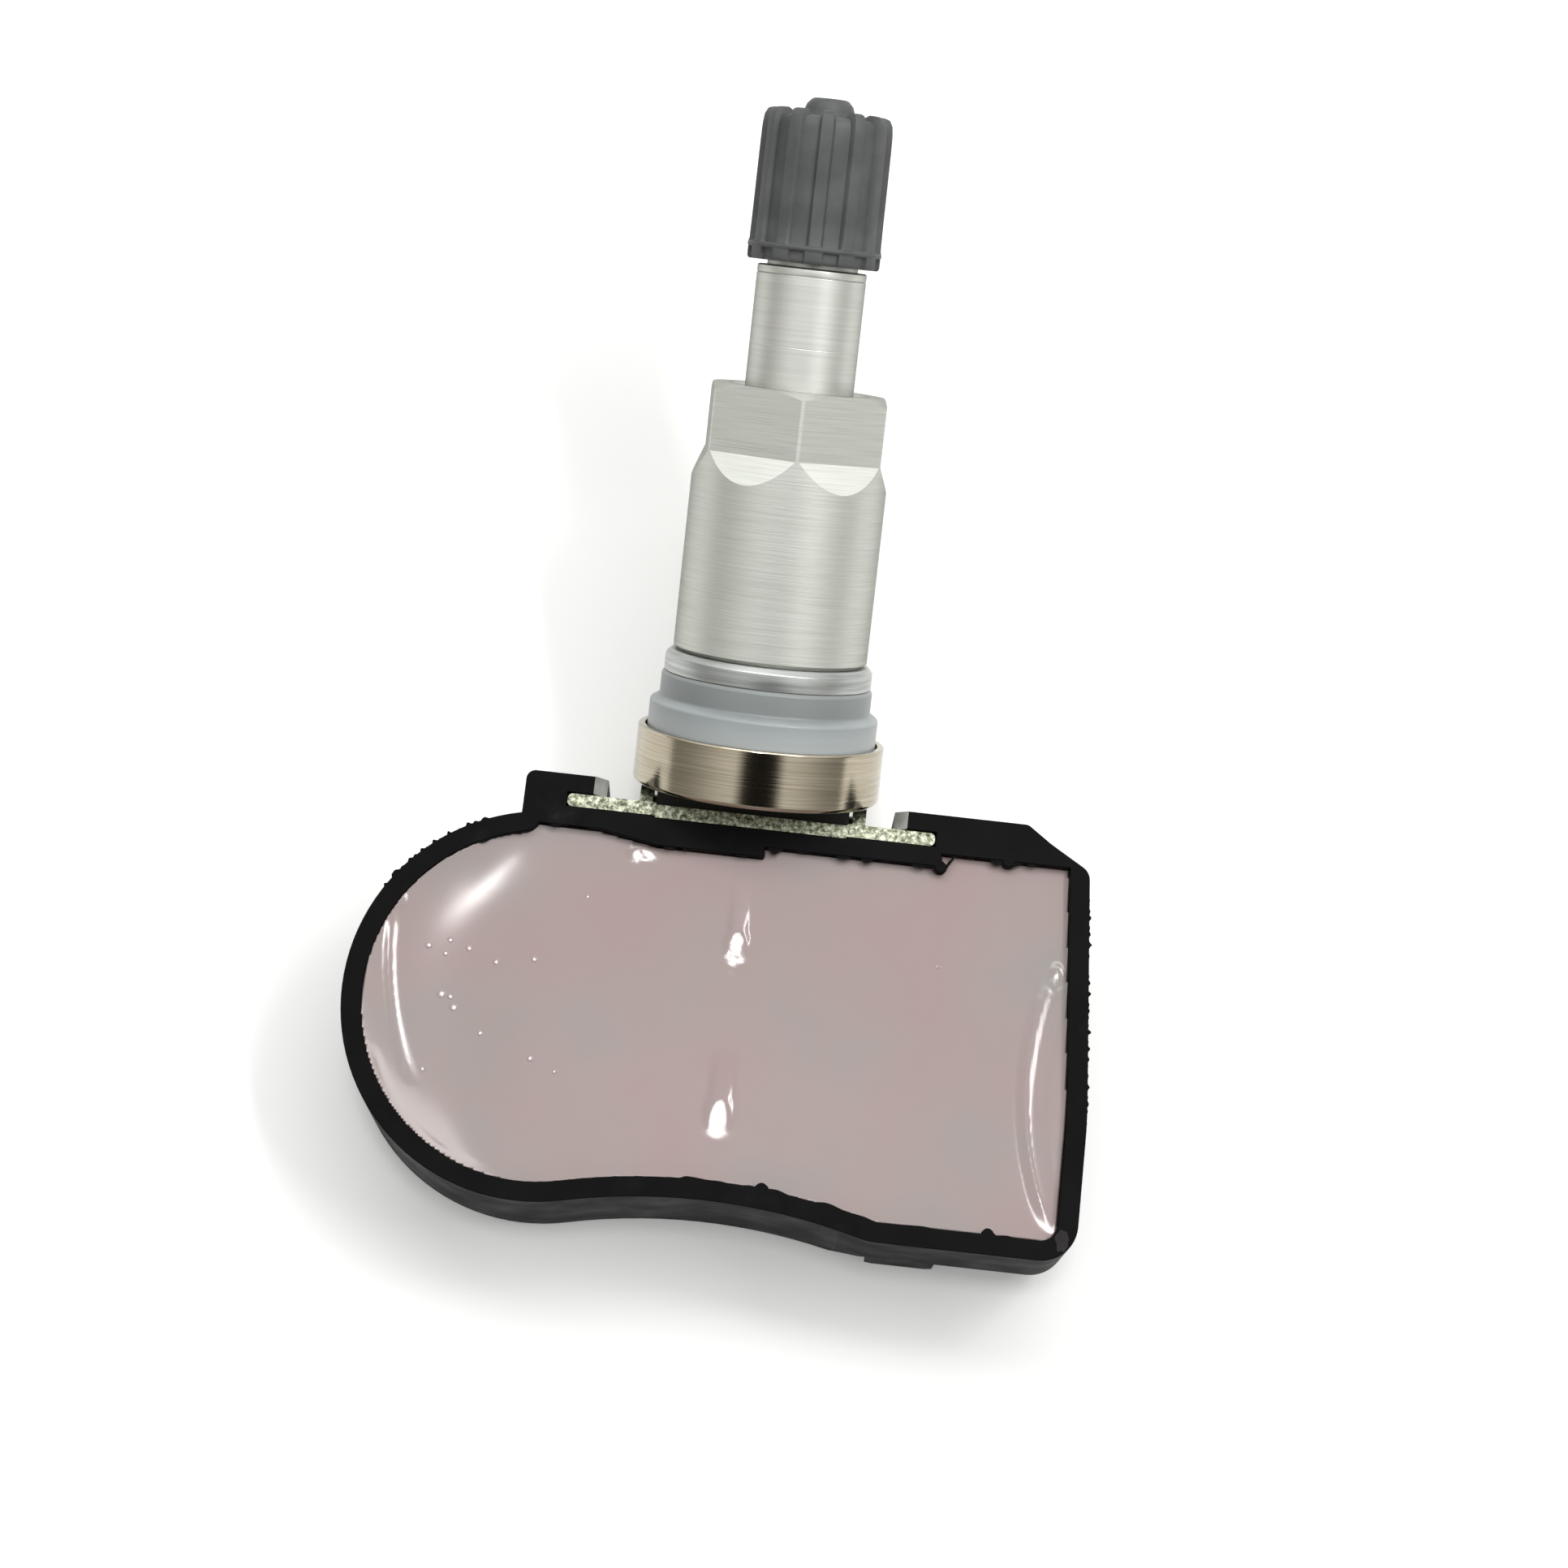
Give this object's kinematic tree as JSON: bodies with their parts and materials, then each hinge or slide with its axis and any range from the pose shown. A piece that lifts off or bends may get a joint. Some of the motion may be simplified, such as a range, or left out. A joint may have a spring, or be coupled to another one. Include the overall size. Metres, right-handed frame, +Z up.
{
  "type": "tyre pressure sensor",
  "caption": "Tyre pressure sensor: black potted housing with round battery end, on a sliding bracket with a tilting clamp-in metal valve, sleeve nut and ribbed dust cap.",
  "frame": {"origin": "on the back face that the part lies on, in the plane of the valve, half way along the housing", "axes": "+X across the housing, +Y from the housing towards the valve's side, +Z up from the back face to the sealing compound"},
  "size_m": [0.0562, 0.0829, 0.0339],
  "materials": {
    "black_moulding": "moulded glass-filled nylon, dull",
    "sealing_compound": "cast resin, glossy",
    "board": "solder mask on glass epoxy",
    "cell_case": null,
    "crystal_can": "drawn steel can",
    "nickel_strip": "rolled nickel strip",
    "chip_package": "moulded epoxy",
    "soft_seal": "moulded rubber",
    "ferrite": "sintered ferrite",
    "copper_wire": "enamelled copper wire",
    "ceramic": "fired ceramic",
    "zinc_plated_steel": "zinc plated, yellow-green passivated",
    "pin_steel": "ground steel",
    "nickel_plate": "turned brass, nickel plated",
    "turned_aluminium": "turned and anodised",
    "grey_silicone": "moulded silicone, satin",
    "bright_aluminium": "turned, bright",
    "satin_aluminium": "turned and milled, satin anodised",
    "cap_plastic": "moulded nylon, matte",
    "core_brass": "turned brass",
    "spring_steel": "drawn wire"
  },
  "bodies": {
    "housing": {"housing_shell": "black_moulding", "sealing_compound": "sealing_compound", "circuit_board": "board", "button_cell": "cell_case", "upper_cell_tab": "nickel_strip", "lower_cell_tab": "nickel_strip", "sensor_chip": "chip_package", "port_seal": "soft_seal", "coil_core": "ferrite", "coil_winding": "copper_wire", "crystal": "crystal_can", "capacitors": "ceramic", "mounting_bracket": "zinc_plated_steel", "pivot_pin": "pin_steel"},
    "valve": {"valve_base": "nickel_plate", "valve_stem": "turned_aluminium", "grommet": "grey_silicone", "core_body": "core_brass", "core_seal": "soft_seal", "core_spring": "spring_steel"},
    "washer": {"clamp_washer": "bright_aluminium"},
    "nut": {"hex_nut": "satin_aluminium"},
    "cap_seal": {"cap_gasket": "soft_seal"},
    "cap": {"dust_cap": "cap_plastic"},
    "core": {"core_pin": "core_brass", "poppet_seal": "soft_seal"}
  },
  "joints": [
    {"name": "valve_tilt", "type": "hinge", "parent": "housing", "child": "valve", "pos_m": [0, 0.01574, 0.00783], "axis": [1, 0, 0], "range_deg": [-24, 10]},
    {"name": "nut_turn", "type": "hinge", "parent": "valve", "child": "washer", "pos_m": [0, 0.01775, 0.00872], "axis": [0, 0.914, 0.4058], "range_deg": [0, 3841]},
    {"name": "nut_travel", "type": "slide", "parent": "washer", "child": "nut", "axis": [0, 0.914, 0.4058], "range_m": [0, 0.008]},
    {"name": "cap_lift", "type": "slide", "parent": "valve", "child": "cap_seal", "axis": [0, 0.914, 0.4058], "range_m": [0, 0.0095]},
    {"name": "cap_turn", "type": "hinge", "parent": "cap_seal", "child": "cap", "pos_m": [0, 0.01775, 0.00872], "axis": [0, 0.914, 0.4058], "range_deg": [0, 4308]},
    {"name": "core_press", "type": "slide", "parent": "valve", "child": "core", "axis": [0, 0.914, 0.4058], "range_m": [-0.0015, 0], "stiffness_N_per_m": 1500, "springref_m": 0.001, "deforming": ["core_spring"]}
  ],
  "couplings": [
    {"joint": "nut_turn", "follows": "nut_travel", "rad_per_m": 8377.6},
    {"joint": "cap_turn", "follows": "cap_lift", "rad_per_m": 7913.3}
  ]
}
